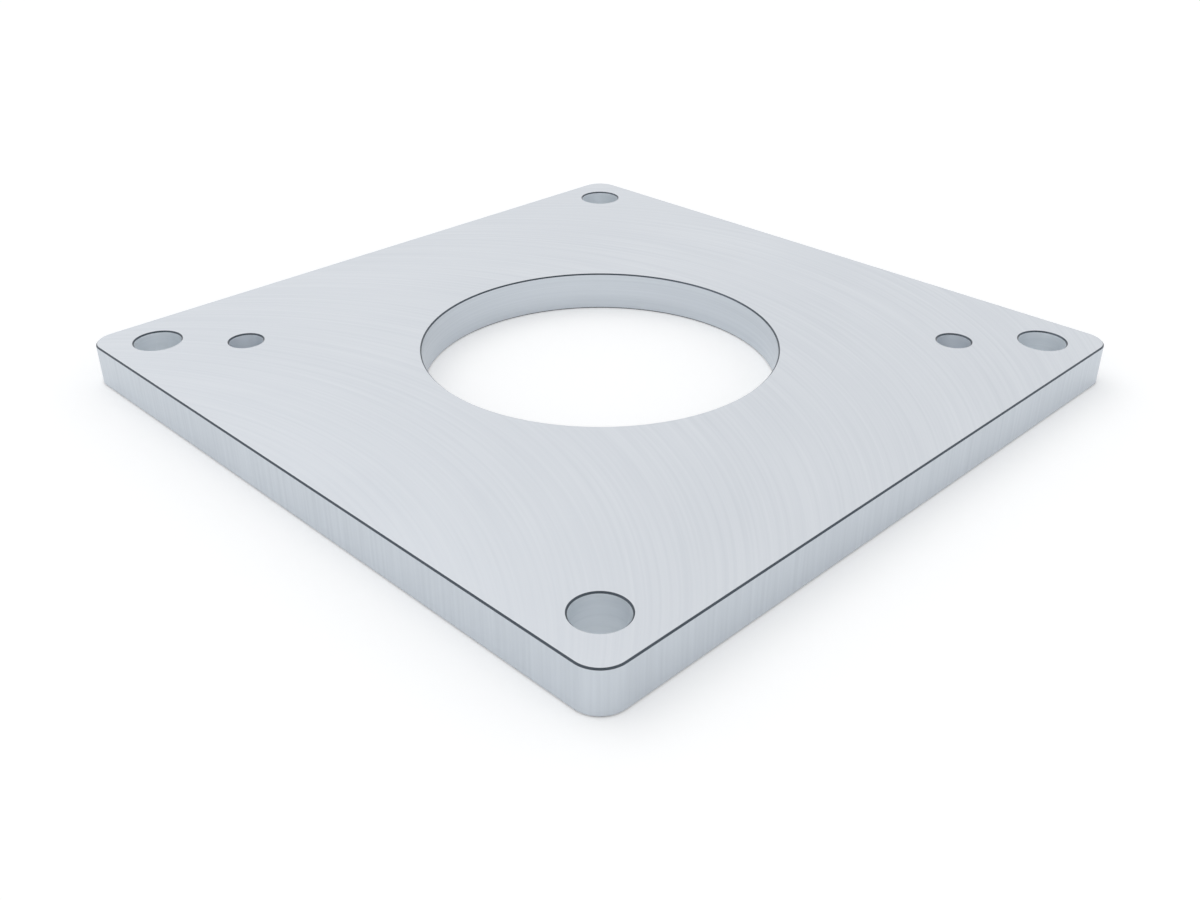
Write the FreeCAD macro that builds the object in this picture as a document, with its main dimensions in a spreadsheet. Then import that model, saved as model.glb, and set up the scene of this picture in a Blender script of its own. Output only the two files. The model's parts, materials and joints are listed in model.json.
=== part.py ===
import FreeCAD, Part
import os

import Sketcher
from FreeCAD import Vector

# Gearbox mounting plate, one square piece machined from flat aluminium plate.
# A large bore in its middle takes the gearbox's round register. Each corner has a bolt hole, and
# next to two opposite ones, nearer the middle on the same diagonal, are holes for locating pins.
# The upright corners are rounded, and every edge of the two faces and of the holes is bevelled.
# The underside lies in Z = 0, the bore is on the Z axis and the sides run along X and Y.

# Driving dimensions in millimetres: name, size and meaning
SIZES = (
    ("plate_side", "174", "length of each side of the square"),
    ("plate_thickness", "10", "from the underside to the top face"),
    ("corner_radius", "6", "rounding of the upright corners"),
    ("bore_diameter", "85", "round opening in the middle"),
    ("bolt_hole_diameter", "11", "clearance hole for a 10 mm bolt"),
    ("bolt_edge_distance", "12", "centre of a bolt hole from both sides beside it"),
    ("pin_hole_diameter", "8", "hole for a locating pin"),
    ("pin_inset", "15", "centre of a pin hole from its bolt hole's, along X and along Y"),
    ("edge_bevel", "0.3", "both legs of the bevel on every rim"),
)

# Places of the first hole of each kind, measured from the plate's centre
BOLT_FROM_CENTRE = "sizes.plate_side / 2 - sizes.bolt_edge_distance"
PIN_FROM_CENTRE = BOLT_FROM_CENTRE + " - sizes.pin_inset"

PLATE_CORNERS = 4
PIN_HOLES = 2
FULL_TURN = 360

# The first point of a sketch's own X axis, which is the plate's centre
ORIGIN = (-1, 1)


def start_of(line):
    """Where a line of a sketch begins."""
    return line, 1


def end_of(line):
    """Where a line of a sketch ends."""
    return line, 2


def centre_of(circle):
    """Middle of a sketch's circle."""
    return circle, 3


def add_size_sheet(document):
    """Puts the driving dimensions into a sheet, where each has its name as an alias."""
    sheet = document.addObject("Spreadsheet::Sheet", "sizes")
    for row, (alias, size, meaning) in enumerate(SIZES, start=1):
        sheet.set(f"A{row}", alias)
        sheet.set(f"B{row}", size)
        sheet.setAlias(f"B{row}", alias)
        sheet.set(f"C{row}", meaning)
    document.recompute()


def origin_feature(body, role):
    """The body's own plane or axis that has this role."""
    return next(item for item in body.Origin.OriginFeatures if item.Role == role)


def add_sketch(body, name):
    """Empty sketch in the plane of the underside."""
    sketch = body.newObject("Sketcher::SketchObject", name)
    sketch.AttachmentSupport = (origin_feature(body, "XY_Plane"), [""])
    sketch.MapMode = "FlatFace"
    return sketch


def add_dimension(sketch, name, expression, kind, *points):
    """Dimension between points of a sketch, tied to the sheet by an expression."""
    size = sketch.evalExpression(expression)
    index = sketch.addConstraint(Sketcher.Constraint(kind, *points, size))
    sketch.renameConstraint(index, name)
    sketch.setExpression(f"Constraints.{name}", expression)


def add_circle(sketch, diameter, x=0, y=0):
    """Circle near (x, y) whose diameter follows the sheet."""
    radius = sketch.evalExpression(diameter) / 2
    circle = sketch.addGeometry(Part.Circle(Vector(x, y, 0), Vector(0, 0, 1), radius))
    add_dimension(sketch, "diameter", diameter, "Diameter", circle)
    return circle


def sketch_outline(body):
    """Square about the plate's centre."""
    sketch = add_sketch(body, "outline")
    half = sketch.evalExpression("sizes.plate_side / 2")
    corners = [Vector(-half, -half), Vector(half, -half), Vector(half, half), Vector(-half, half)]
    near, right, far, left = (
        sketch.addGeometry(Part.LineSegment(start, end))
        for start, end in zip(corners, corners[1:] + corners[:1])
    )
    for line, following in ((near, right), (right, far), (far, left), (left, near)):
        sketch.addConstraint(Sketcher.Constraint("Coincident", *end_of(line), *start_of(following)))
    for line in (near, far):
        sketch.addConstraint(Sketcher.Constraint("Horizontal", line))
    for line in (right, left):
        sketch.addConstraint(Sketcher.Constraint("Vertical", line))
    sketch.addConstraint(Sketcher.Constraint("Equal", near, right))
    sketch.addConstraint(Sketcher.Constraint("Symmetric", *start_of(near), *end_of(right), *ORIGIN))
    add_dimension(sketch, "side", "sizes.plate_side", "DistanceX", *start_of(near), *end_of(near))
    return sketch


def sketch_bore(body):
    """Circle of the bore, centred on the plate."""
    sketch = add_sketch(body, "bore_circle")
    circle = add_circle(sketch, "sizes.bore_diameter")
    sketch.addConstraint(Sketcher.Constraint("Coincident", *centre_of(circle), *ORIGIN))
    return sketch


def sketch_bolt_hole(body):
    """Circle of the bolt hole in the corner towards +X and +Y."""
    sketch = add_sketch(body, "bolt_hole_circle")
    place = sketch.evalExpression(BOLT_FROM_CENTRE)
    circle = add_circle(sketch, "sizes.bolt_hole_diameter", place, place)
    add_dimension(sketch, "right", BOLT_FROM_CENTRE, "DistanceX", *ORIGIN, *centre_of(circle))
    add_dimension(sketch, "up", BOLT_FROM_CENTRE, "DistanceY", *ORIGIN, *centre_of(circle))
    return sketch


def sketch_pin_hole(body):
    """Circle of the pin hole on the diagonal towards +X and -Y."""
    sketch = add_sketch(body, "pin_hole_circle")
    place = sketch.evalExpression(PIN_FROM_CENTRE)
    circle = add_circle(sketch, "sizes.pin_hole_diameter", place, -place)
    add_dimension(sketch, "right", PIN_FROM_CENTRE, "DistanceX", *ORIGIN, *centre_of(circle))
    add_dimension(sketch, "down", PIN_FROM_CENTRE, "DistanceY", *centre_of(circle), *ORIGIN)
    return sketch


def pad_blank(body, outline):
    """Square blank, as thick as the plate."""
    blank = body.newObject("PartDesign::Pad", "blank")
    blank.Profile = outline
    blank.setExpression("Length", "sizes.plate_thickness")
    body.Document.recompute()
    return blank


def cut_through(body, name, circle):
    """Hole from the underside up through the top face."""
    hole = body.newObject("PartDesign::Pocket", name)
    hole.Profile = circle
    hole.Type = "ThroughAll"
    hole.Reversed = True
    body.Document.recompute()
    return hole


def repeat_about_centre(body, name, hole, count):
    """The same hole at equal turns about the bore's axis."""
    pattern = body.newObject("PartDesign::PolarPattern", name)
    pattern.Originals = [hole]
    pattern.Axis = (origin_feature(body, "Z_Axis"), [""])
    pattern.Angle = FULL_TURN
    pattern.Occurrences = count
    body.Tip = pattern
    body.Document.recompute()
    return pattern


def edge_names(feature, lying):
    """Names of a feature's edges that lie flat, or of those that stand upright."""
    names = []
    for number, edge in enumerate(feature.Shape.Edges, start=1):
        heights = [vertex.Z for vertex in edge.Vertexes]
        is_flat = max(heights) - min(heights) < Part.Precision.confusion()
        if is_flat == lying:
            names.append(f"Edge{number}")
    return names


def round_corners(body, blank):
    """Rounding of the blank's four upright edges."""
    rounding = body.newObject("PartDesign::Fillet", "rounded_corners")
    rounding.Base = (blank, edge_names(blank, lying=False))
    rounding.setExpression("Radius", "sizes.corner_radius")
    body.Document.recompute()
    return rounding


def bevel_rims(body, drilled):
    """Bevel at 45 degrees on every rim: the outline's and the holes', above and below."""
    bevel = body.newObject("PartDesign::Chamfer", "bevelled_rims")
    bevel.Base = (drilled, edge_names(drilled, lying=True))
    bevel.setExpression("Size", "sizes.edge_bevel")
    body.Document.recompute()
    return bevel


def make_mounting_plate(document):
    """The plate in the order in which it is machined."""
    plate = document.addObject("PartDesign::Body", "mounting_plate")
    plate.Label = "mounting_plate"
    blank = pad_blank(plate, sketch_outline(plate))
    round_corners(plate, blank)
    cut_through(plate, "centre_bore", sketch_bore(plate))
    bolt_hole = cut_through(plate, "first_bolt_hole", sketch_bolt_hole(plate))
    repeat_about_centre(plate, "bolt_holes", bolt_hole, PLATE_CORNERS)
    pin_hole = cut_through(plate, "first_pin_hole", sketch_pin_hole(plate))
    drilled = repeat_about_centre(plate, "pin_holes", pin_hole, PIN_HOLES)
    bevel_rims(plate, drilled)
    return plate


def check_states(document):
    """Stops at any object that could not be worked out."""
    for item in document.Objects:
        if "Invalid" in item.State or "Error" in item.State:
            raise RuntimeError(f"{item.Label} could not be worked out: {item.State}")


def check_every_cut(body):
    """Stops at a step after the blank that took nothing away."""
    steps = [item for item in body.Group if item.isDerivedFrom("PartDesign::Feature")]
    for before, after in zip(steps, steps[1:]):
        if after.Shape.Volume >= before.Shape.Volume:
            raise RuntimeError(f"{after.Label} took nothing away")


def write_step(body):
    """Writes the body's solid to a file with its label's name."""
    solid = body.Shape
    if solid.isNull() or not solid.isValid():
        raise RuntimeError(f"{body.Label} has no valid solid")
    solid.exportStep(os.path.join("parts", f"{body.Label}.step"))


os.makedirs("parts", exist_ok=True)
document = FreeCAD.newDocument("gearbox_mounting_plate")
add_size_sheet(document)
mounting_plate = make_mounting_plate(document)
document.recompute()
check_states(document)
check_every_cut(mounting_plate)
write_step(mounting_plate)
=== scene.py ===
import json
import math

import bpy
import numpy as np
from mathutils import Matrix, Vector
from mathutils.geometry import delaunay_2d_cdt


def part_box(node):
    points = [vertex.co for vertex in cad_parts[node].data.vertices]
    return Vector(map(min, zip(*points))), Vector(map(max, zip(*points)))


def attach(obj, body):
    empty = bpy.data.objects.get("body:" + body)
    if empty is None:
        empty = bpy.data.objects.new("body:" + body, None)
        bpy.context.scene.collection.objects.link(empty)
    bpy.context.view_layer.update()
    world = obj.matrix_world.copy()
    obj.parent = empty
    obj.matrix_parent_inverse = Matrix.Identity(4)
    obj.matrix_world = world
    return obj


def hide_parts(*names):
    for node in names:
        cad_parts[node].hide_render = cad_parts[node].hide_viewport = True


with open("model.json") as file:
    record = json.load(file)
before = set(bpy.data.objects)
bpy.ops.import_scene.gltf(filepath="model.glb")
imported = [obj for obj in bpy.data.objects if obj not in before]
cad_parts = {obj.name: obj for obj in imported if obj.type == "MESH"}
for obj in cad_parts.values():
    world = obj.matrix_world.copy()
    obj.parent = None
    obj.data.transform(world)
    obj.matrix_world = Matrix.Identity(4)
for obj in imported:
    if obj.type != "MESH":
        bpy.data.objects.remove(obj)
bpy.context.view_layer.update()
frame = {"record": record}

# THE OUTER SIDES
# The plate is cut from a square of aluminium tooling plate, sawn over size. An end mill goes
# round it on its side, brings it to size and rounds the four upright corners.
MM = 0.001
low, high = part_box("mounting_plate")
half_side = (high[0] - low[0]) / 2
thickness = high[2] - low[2]
plate_corners = 4
corner_radius = 6 * MM
corner_steps = 20
quarter_turn = math.pi / 2


def rounded_square():
    """Path round the sides, anticlockwise from above, with the direction out of the metal.

    Each corner is a quarter circle about a point that lies corner_radius in from two sides. The
    straight sides run from the end of one quarter circle to the start of the next.
    """
    start = np.arange(plate_corners)[:, None] * quarter_turn
    angle = start + np.linspace(0, quarter_turn, corner_steps + 1)
    away = np.stack([np.cos(angle), np.sin(angle)], axis=-1)
    centre = (half_side - corner_radius) * (away[:, :1] + away[:, -1:])
    path = centre + corner_radius * away
    return path.reshape(-1, 2), away.reshape(-1, 2)


def linear(hex_colour):
    """Linear colour, with alpha, of an sRGB hex value.

    The sRGB curve is a straight line near black and a power of a shifted value above it.
    """
    line_end, line_slope, shift, power = 0.04045, 12.92, 0.055, 2.4
    srgb = np.array([int(hex_colour[i : i + 2], 16) for i in (1, 3, 5)]) / 255
    curved = ((srgb + shift) / (1 + shift)) ** power
    return (*np.where(srgb <= line_end, srgb / line_slope, curved).tolist(), 1)


def add_node(tree, kind, inputs, **settings):
    """Adds a node with its settings. Each input is a value or another node's output."""
    node = tree.nodes.new(kind)
    for name, setting in settings.items():
        setattr(node, name, setting)
    for key, value in inputs.items():
        if isinstance(value, bpy.types.NodeSocket):
            tree.links.new(value, node.inputs[key])
        else:
            node.inputs[key].default_value = value
    return node


def new_tree(name):
    """A new material, its node tree and the socket of the place in the plate's own frame."""
    material = bpy.data.materials.new(name)
    material.use_nodes = True
    coordinates = add_node(material.node_tree, "ShaderNodeTexCoord", {})
    return material, material.node_tree, coordinates.outputs["Object"]


# Every cut leaves marks with three finer sizes of mark in them, and the whole stock has faint
# clouds, a few centimetres across, where its grain takes the light differently.
finer_marks = 3
cloud_size = 40 * MM
cloud_share = 0.35
gloss_change = 0.1


def cut_aluminium(tree, place, spacing, dull, bright, roughness, depth):
    """Bare aluminium with the marks of its last cut.

    The marks are noise of the place divided by spacing, which is short across the cut and long
    along it. Their crests are bright and smooth and their hollows are dull.
    """
    shader = tree.nodes["Principled BSDF"]
    shader.inputs["Metallic"].default_value = 1
    stretched = add_node(tree, "ShaderNodeVectorMath", {0: place, 1: spacing}, operation="DIVIDE")
    marks = add_node(
        tree,
        "ShaderNodeTexNoise",
        {"Vector": stretched.outputs[0], "Scale": 1, "Detail": finer_marks},
    ).outputs[0]
    clouds = add_node(
        tree, "ShaderNodeTexNoise", {"Vector": place, "Scale": 1 / cloud_size}
    ).outputs[0]
    tone = add_node(tree, "ShaderNodeMix", {"Factor": cloud_share, "A": marks, "B": clouds})
    colour = add_node(
        tree,
        "ShaderNodeMix",
        {"Factor": tone.outputs[0], "A": linear(dull), "B": linear(bright)},
        data_type="RGBA",
    )
    gloss = add_node(
        tree,
        "ShaderNodeMapRange",
        {"Value": marks, "To Min": roughness + gloss_change, "To Max": roughness - gloss_change},
    )
    bump = add_node(tree, "ShaderNodeBump", {"Height": marks, "Distance": depth})
    tree.links.new(colour.outputs["Result"], shader.inputs["Base Color"])
    tree.links.new(gloss.outputs[0], shader.inputs["Roughness"])
    tree.links.new(bump.outputs[0], shader.inputs["Normal"])


# End-milled aluminium: the flutes leave upright lines 0.1 mm apart, drawn 0.8 mm apart so that
# they show. They make the sides duller than the faces. The sides' colour is painted a shade
# darker than the faces' too: painted shade, for the shade that falls on the upright sides.
sides_painted_shade, tree, place = new_tree("end_milled_aluminium_painted_shade")
cut_aluminium(
    tree,
    place,
    spacing=(0.8 * MM, 0.8 * MM, 30 * MM),
    dull="#BFC5CC",
    bright="#D3D9DF",
    roughness=0.38,
    depth=0.01 * MM,
)
walls = [(*rounded_square(), sides_painted_shade)]

# THE CENTRE BORE
# The opening for the gearbox's round register, cut to size with a boring head once the plate is
# clamped flat.
mounts = {mount["name"]: mount for mount in frame["record"]["mounts"]}
bore_steps = 320


def round_hole(x, y, radius, steps):
    """Path round a hole, clockwise from above, with the direction out of the metal.

    Point k stands at k / steps of a turn, and out of the metal is towards the hole's centre.
    """
    angle = -np.linspace(0, 2 * math.pi, steps, endpoint=False)
    towards_centre = -np.stack([np.cos(angle), np.sin(angle)], axis=-1)
    return np.array([x, y]) - radius * towards_centre, towards_centre


# Bored aluminium: the tool's single point leaves level rings 0.1 mm apart, drawn 0.5 mm apart so
# that they show. They shine a little more than the milled sides and run evenly round the wall.
# Its colour is painted as dark as the sides', painted shade for the shade inside the bore.
bore_painted_shade, tree, place = new_tree("bored_aluminium_painted_shade")
cut_aluminium(
    tree,
    place,
    spacing=(60 * MM, 60 * MM, 0.5 * MM),
    dull="#BFC5CC",
    bright="#D3D9DF",
    roughness=0.32,
    depth=0.01 * MM,
)
bore_radius = mounts["centre_bore"]["dims"]["r_mm"] * MM
walls.append((*round_hole(0, 0, bore_radius, bore_steps), bore_painted_shade))

# THE BOLT HOLES
# Four clearance holes for bolts, one near each corner. A twist drill cuts them right through the
# plate, square to its faces.
small_hole_steps = 96

# Drilled aluminium: the drill tears fresh metal into rough rings 0.2 mm apart, drawn 0.6 mm
# apart. They scatter the light, and the colour is painted paler than the faces, painted light
# against the shade down in the holes, so the walls stay pale there.
drilled_painted_light, tree, place = new_tree("drilled_aluminium_painted_light")
cut_aluminium(
    tree,
    place,
    spacing=(20 * MM, 20 * MM, 0.6 * MM),
    dull="#DFE4E8",
    bright="#F0F4F8",
    roughness=0.6,
    depth=0.01 * MM,
)
bolts = mounts["bolt_holes"]["dims"]
for x_side, y_side in ((1, 1), (-1, 1), (-1, -1), (1, -1)):
    x = x_side * bolts["spacing_x_mm"] * MM / 2
    y = y_side * bolts["spacing_y_mm"] * MM / 2
    walls.append((*round_hole(x, y, bolts["hole_r_mm"] * MM, small_hole_steps), drilled_painted_light))

# THE PIN HOLES
# Two holes for locating pins, on one diagonal of the plate. They are drilled under size and then
# reamed, so that the pins fit closely.

# Reamed aluminium: the blades shave the drilled wall to a finer grain, its rings 0.05 mm apart
# and drawn 0.3 mm apart. It has a closer and softer sheen than the bolt holes. Like theirs, its
# colour is painted paler than the faces, painted light against the shade down in the holes.
reamed_painted_light, tree, place = new_tree("reamed_aluminium_painted_light")
cut_aluminium(
    tree,
    place,
    spacing=(20 * MM, 20 * MM, 0.3 * MM),
    dull="#E2E7ED",
    bright="#F1F5F9",
    roughness=0.55,
    depth=0.005 * MM,
)
for name in ("pin_hole_plus_x", "pin_hole_plus_y"):
    x, y, _ = mounts[name]["pos_m"]
    radius = mounts[name]["dims"]["r_mm"] * MM
    walls.append((*round_hole(x, y, radius, small_hole_steps), reamed_painted_light))

# THE BEVELS
# Every rim, above and below, is bevelled at 45 degrees so that no burr or sharp edge is left. A
# last stroke of deburring leaves a fine round along both sides of each bevel.
bevel = (thickness - mounts["centre_bore"]["dims"]["length_mm"] * MM) / 2
edge_round = 0.05 * MM
edge_steps = 3
eighth_turn = quarter_turn / 2


def wall_section():
    """Section of a wall and its bevels, from the underside up, as (out, up) and direction.

    The line has four corners of an eighth turn. Each is an arc of radius edge_round, whose
    direction turns from a to b, the directions square to the stretches that meet there. Its
    centre is the corner less edge_round (a + b) / (1 + a.b).
    """
    corner = np.array([[-bevel, 0], [0, bevel], [0, thickness - bevel], [-bevel, thickness]])
    start = -quarter_turn + np.arange(len(corner))[:, None] * eighth_turn
    angle = start + np.linspace(0, eighth_turn, edge_steps + 1)
    facing = np.stack([np.cos(angle), np.sin(angle)], axis=-1)
    first, last = facing[:, :1], facing[:, -1:]
    middle = (first + last) / (1 + np.sum(first * last, axis=-1, keepdims=True))
    points = corner[:, None] + edge_round * (facing - middle)
    return points.reshape(-1, 2), facing.reshape(-1, 2)


# Deburred aluminium: the hand tool smears the edge smooth, with lines 0.1 mm apart along it,
# drawn 0.3 mm apart. Its colour is painted dark grey, painted shade, so that each rim reads as a
# thin dark shade line.
bevels_painted_shade, tree, place = new_tree("deburred_aluminium_painted_shade")
cut_aluminium(
    tree,
    place,
    spacing=(8 * MM, 8 * MM, 0.3 * MM),
    dull="#454C54",
    bright="#5A6169",
    roughness=0.3,
    depth=0.002 * MM,
)

# THE FLAT FACES
# Both faces are milled flat, in one pass each, by a fly cutter wider than the plate, which moves
# along X. Each turn leaves an arc, so the faces carry fine arcs one after the other.
cutter_radius = 110 * MM

# Face-milled aluminium: the arcs lie 0.2 mm apart, drawn 1 mm apart so that they show. They give
# the faces a pale satin sheen that changes a little from arc to arc. A point at Y was cut when
# the cutter's centre stood at X - sqrt(cutter_radius^2 - Y^2), and the marks are noise of that.
faced, tree, place = new_tree("face_milled_aluminium")
axes = add_node(tree, "ShaderNodeSeparateXYZ", {0: place})
across = axes.outputs["Y"]
square = add_node(tree, "ShaderNodeMath", {0: across, 1: across}, operation="MULTIPLY")
rest = add_node(
    tree, "ShaderNodeMath", {0: cutter_radius**2, 1: square.outputs[0]}, operation="SUBTRACT"
)
ahead = add_node(tree, "ShaderNodeMath", {0: rest.outputs[0]}, operation="SQRT")
feed = add_node(
    tree, "ShaderNodeMath", {0: axes.outputs["X"], 1: ahead.outputs[0]}, operation="SUBTRACT"
)
swept = add_node(tree, "ShaderNodeCombineXYZ", {"X": feed.outputs[0], "Y": across})
cut_aluminium(
    tree,
    swept.outputs[0],
    spacing=(1 * MM, 60 * MM, 1 * MM),
    dull="#C9CED5",
    bright="#DDE1E6",
    roughness=0.33,
    depth=0.01 * MM,
)

# THE MACHINED PLATE
# All these surfaces belong to one solid piece, so they are one closed mesh. The flat faces fill
# the space between the rims with the same triangles above and below.
section, section_facing = wall_section()
finishes = [faced, sides_painted_shade, bore_painted_shade, drilled_painted_light, reamed_painted_light, bevels_painted_shade]


def carry_round(path, away):
    """Points of the wall's section carried round a closed path, and their normals.

    Path point p, with direction a, and section point (out, up) give the point (p + out a, up).
    The normal is the section's own direction, turned in the same way.
    """
    shape = (len(path), len(section), 1)
    level_points = path[:, None] + section[:, :1] * away[:, None]
    level_normals = section_facing[:, :1] * away[:, None]
    points = np.concatenate([level_points, np.broadcast_to(section[:, 1:], shape)], axis=-1)
    upward = np.broadcast_to(section_facing[:, 1:], shape)
    return points.reshape(-1, 3), np.concatenate([level_normals, upward], axis=-1).reshape(-1, 3)


def wall_quads(number):
    """Faces of a wall whose points have these numbers, one row for each point of the path.

    A face joins two neighbours along the section with the same two one step on round the path.
    """
    onward = np.roll(number, -1, axis=0)
    corners = [number[:, :-1], onward[:, :-1], onward[:, 1:], number[:, 1:]]
    return np.stack(corners, axis=-1).reshape(-1, 4)


points = []
normals = []
quads = []
face_finishes = []
top_rims = []
point_count = 0
wall_stretch = len(section) // 2 - 1
for path, away, finish in walls:
    wall_points, wall_normals = carry_round(path, away)
    number = point_count + np.arange(len(wall_points)).reshape(len(path), len(section))
    stretches = np.full((len(path), len(section) - 1), finishes.index(bevels_painted_shade))
    stretches[:, wall_stretch] = finishes.index(finish)
    points.append(wall_points)
    normals.append(wall_normals)
    quads.append(wall_quads(number))
    face_finishes.append(stretches.ravel())
    top_rims.append(number[:, -1])
    point_count += len(wall_points)
points = np.concatenate(points)
quads = np.concatenate(quads)

# Each rim's points join into a ring, and the triangles between the rings keep the rings' edges
rim_edges = [np.stack([rim, np.roll(rim, -1)], axis=-1) for rim in top_rims]
top = np.concatenate(top_rims)
rim_of = np.repeat(np.arange(len(top_rims)), [len(rim) for rim in top_rims])
ring_edges = np.searchsorted(top, np.concatenate(rim_edges))
whole_hull = 0
weld_distance = 0.0001 * MM
_, _, corners, given_points, _, _ = delaunay_2d_cdt(
    points[top, :2].tolist(), ring_edges.tolist(), [], whole_hull, weld_distance
)
first_given = np.array([given[0] for given in given_points])
triangles = first_given[np.array(corners)]

# A triangle with its three corners on the rim of one hole lies across that hole
on_rim = rim_of[triangles]
across_hole = (on_rim[:, 0] > 0) & (on_rim.min(axis=1) == on_rim.max(axis=1))
triangles = triangles[~across_hole]
bottom = top - (len(section) - 1)
flats = np.concatenate([top[triangles], bottom[triangles[:, ::-1]]])
face_finishes.append(np.full(len(flats), finishes.index(faced)))

mesh = bpy.data.meshes.new("machined_plate")
mesh.from_pydata(points.tolist(), [], quads.tolist() + flats.tolist())
mesh.polygons.foreach_set("material_index", np.concatenate(face_finishes).astype(np.int32))
for finish in finishes:
    mesh.materials.append(finish)
mesh.normals_split_custom_set_from_vertices(np.concatenate(normals).tolist())

# A map named OFBake lays the finishes out on one square picture. Both flat faces share the
# picture's upper part. Below them the walls lie unrolled in four rows: two for the outer sides,
# one for the bore and one for the six small holes.
row_counts = [2, 1] + [1 / 6] * 6

# A row has three strips, from the bottom up: lower bevel, wall and upper bevel. Their heights and
# the gaps are shares of the picture's height, with half a gap at the row's bottom and top. The
# bevels are drawn wider than they are, so that their painted dark shade lines stay sharp.
strip_heights = np.array([0.008, 0.042, 0.008])
strip_gap = 0.004
stretch_length = np.linalg.norm(np.diff(section, axis=0), axis=-1)
strip = np.sign(np.arange(len(stretch_length)) - wall_stretch) + 1
stretch_height = stretch_length * (strip_heights / np.bincount(strip, stretch_length))[strip]
high_edge = np.cumsum(stretch_height) + strip_gap * (strip + 1 / 2)
low_edge = high_edge - stretch_height
row_height = strip_heights.sum() + strip_gap * len(strip_heights)


def unrolled(path, first_row, row_count):
    """Corners, on the picture, of the faces of a wall that fills row_count rows from first_row on.

    Both can have a part of a row. The path's length runs to the right, and where a row is full it
    goes on in the next row up. The section's length runs up.
    """
    step = np.linalg.norm(np.roll(path, -1, axis=0) - path, axis=-1)
    width = row_count * step / step.sum()
    end = first_row + np.cumsum(width)
    start = end - width
    row = np.floor((start + end) / 2)[:, None, None]
    right = np.stack([start, end, end, start], axis=-1)[:, None] - row
    up = np.stack([low_edge, low_edge, high_edge, high_edge], axis=-1) + row_height * row
    return np.stack(np.broadcast_arrays(right, up), axis=-1).reshape(-1, 2)


first_rows = np.cumsum(row_counts) - row_counts
picture_places = [
    unrolled(path, first_row, row_count)
    for (path, _, _), first_row, row_count in zip(walls, first_rows, row_counts)
]
faces_start = row_height * sum(row_counts)
across_plate = (points[flats, :2].reshape(-1, 2) / half_side + 1) / 2
picture_places.append(across_plate * [1, 1 - faces_start] + [0, faces_start])
bake_map = mesh.uv_layers.new(name="OFBake")
bake_map.uv.foreach_set("vector", np.concatenate(picture_places).ravel())

plate = bpy.data.objects.new("machined_plate", mesh)
bpy.context.collection.objects.link(plate)
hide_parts("mounting_plate")
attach(plate, "root")

# THE FLOOR AND THE BACKDROP
# A sheet of matt white paper, much larger than the plate, which lies on it. For the camera and
# in the metal it is as white as the backdrop, apart from the plate's own shadow.
floor_reach = 3
floor_mesh = bpy.data.meshes.new("floor")
floor_corners = np.array([[-1, -1, 0], [1, -1, 0], [1, 1, 0], [-1, 1, 0]]) * floor_reach
floor_mesh.from_pydata(floor_corners.tolist(), [], [(0, 1, 2, 3)])
floor = bpy.data.objects.new("floor", floor_mesh)
bpy.context.collection.objects.link(floor)


def seen_directly(tree):
    """1 for what the camera sees, straight or mirrored or through glass, and 0 for its light."""
    rays = add_node(tree, "ShaderNodeLightPath", {})
    seen = rays.outputs["Is Camera Ray"]
    for kind in ("Is Glossy Ray", "Is Transmission Ray"):
        seen = add_node(
            tree, "ShaderNodeMath", {0: seen, 1: rays.outputs[kind]}, operation="MAXIMUM"
        ).outputs[0]
    return seen


# The paper's own share of white brings it up to the backdrop's white where no shadow falls
white_share = 0.22
paper = bpy.data.materials.new("matt_white_paper")
paper.use_nodes = True
tree = paper.node_tree
tree.nodes.clear()
lift = add_node(
    tree, "ShaderNodeMath", {0: seen_directly(tree), 1: white_share}, operation="MULTIPLY"
)
matt = add_node(tree, "ShaderNodeBsdfDiffuse", {"Color": linear("#F4F5F6")})
glow = add_node(tree, "ShaderNodeEmission", {"Strength": lift.outputs[0]})
both = add_node(tree, "ShaderNodeAddShader", {0: matt.outputs[0], 1: glow.outputs[0]})
add_node(tree, "ShaderNodeOutputMaterial", {"Surface": both.outputs[0]})
floor_mesh.materials.append(paper)

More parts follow.
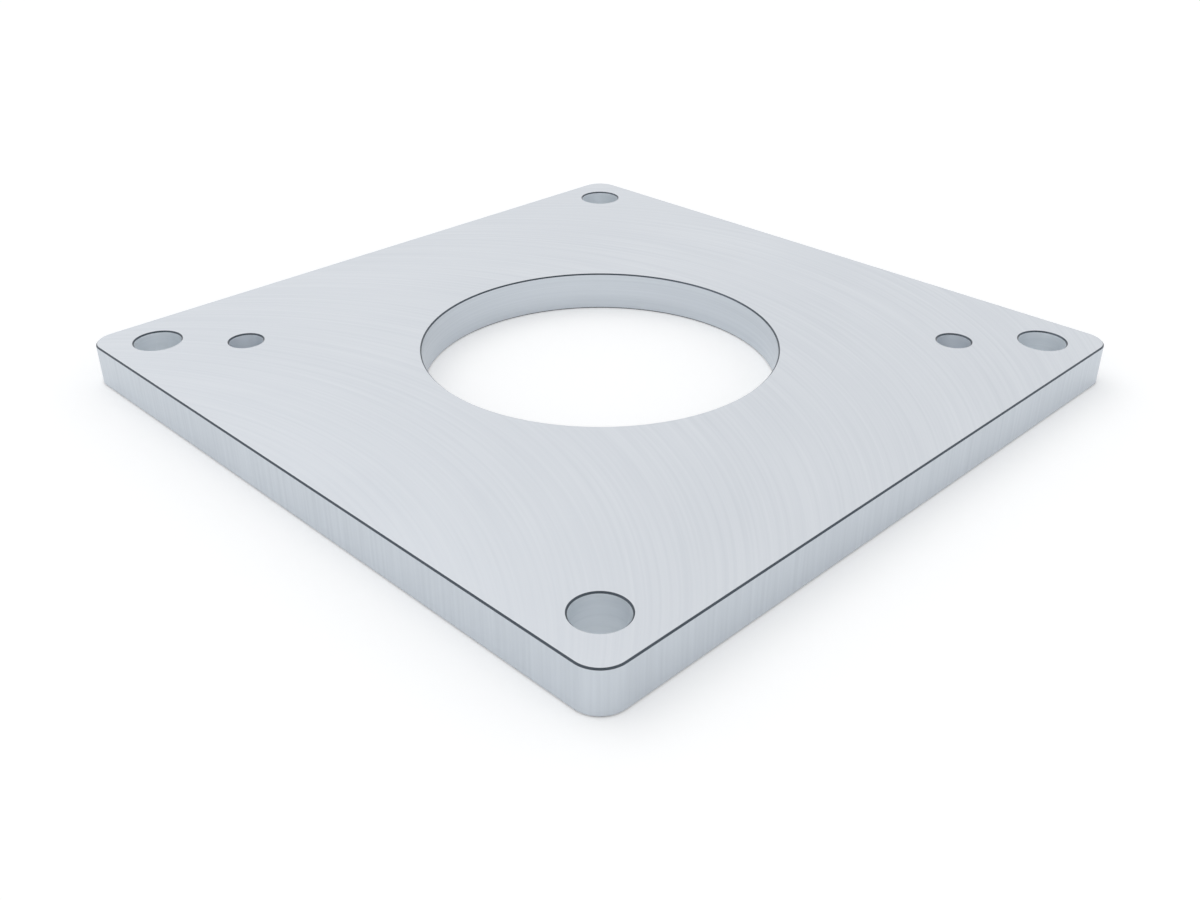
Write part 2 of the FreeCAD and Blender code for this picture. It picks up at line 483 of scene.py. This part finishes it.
# The backdrop is white all round. It lights the plate a little less than it shows, and from
# ceiling_start, as the sine of the height, it fades to a dimmer ceiling straight above.
light_level = 0.88
ceiling_start = 0.6
ceiling_level = 0.5
world = bpy.data.worlds.new("white_backdrop")
bpy.context.scene.world = world
world.use_nodes = True
tree = world.node_tree
tree.nodes.clear()
strength = add_node(
    tree, "ShaderNodeMapRange", {"Value": seen_directly(tree), "To Min": light_level, "To Max": 1}
)
direction = add_node(tree, "ShaderNodeTexCoord", {}).outputs["Generated"]
height = add_node(tree, "ShaderNodeSeparateXYZ", {0: direction}).outputs["Z"]
fade = add_node(
    tree,
    "ShaderNodeMapRange",
    {"Value": height, "From Min": ceiling_start, "To Min": 1, "To Max": ceiling_level},
)
level = add_node(
    tree, "ShaderNodeMath", {0: strength.outputs[0], 1: fade.outputs[0]}, operation="MULTIPLY"
)
sky = add_node(tree, "ShaderNodeBackground", {"Color": (1, 1, 1, 1), "Strength": level.outputs[0]})
add_node(tree, "ShaderNodeOutputWorld", {"Surface": sky.outputs[0]})

# THE LIGHT AND THE CAMERA
# Soft light from high behind the plate's left side. The camera looks down 30 degrees along the
# plate's diagonal, with an upright field of view of 40 degrees.
light_from = math.radians(95)
light_height = math.radians(66)
light_spread = math.radians(60)
light_power = 0.55
lamp = bpy.data.lights.new("softbox", "SUN")
lamp.angle = light_spread
lamp.energy = light_power
softbox = bpy.data.objects.new("softbox", lamp)
bpy.context.collection.objects.link(softbox)
softbox.rotation_euler = (quarter_turn - light_height, 0, light_from + quarter_turn)

scene = bpy.context.scene
scene.view_settings.view_transform = "Standard"
frame_shape = 1200 / 900
half_view = math.radians(20)
heading = math.radians(45)
tilt = math.radians(30)
camera_distance = 311.6 * MM
aim_height = -20.3 * MM
look = Vector(
    (math.cos(tilt) * math.cos(heading), math.cos(tilt) * math.sin(heading), -math.sin(tilt))
)
camera_data = bpy.data.cameras.new("camera")
camera_data.lens = camera_data.sensor_width / 2 / (math.tan(half_view) * frame_shape)
camera = bpy.data.objects.new("camera", camera_data)
bpy.context.collection.objects.link(camera)
camera.location = Vector((0, 0, aim_height)) - camera_distance * look
camera.rotation_euler = (quarter_turn - tilt, 0, heading - quarter_turn)
scene.camera = camera
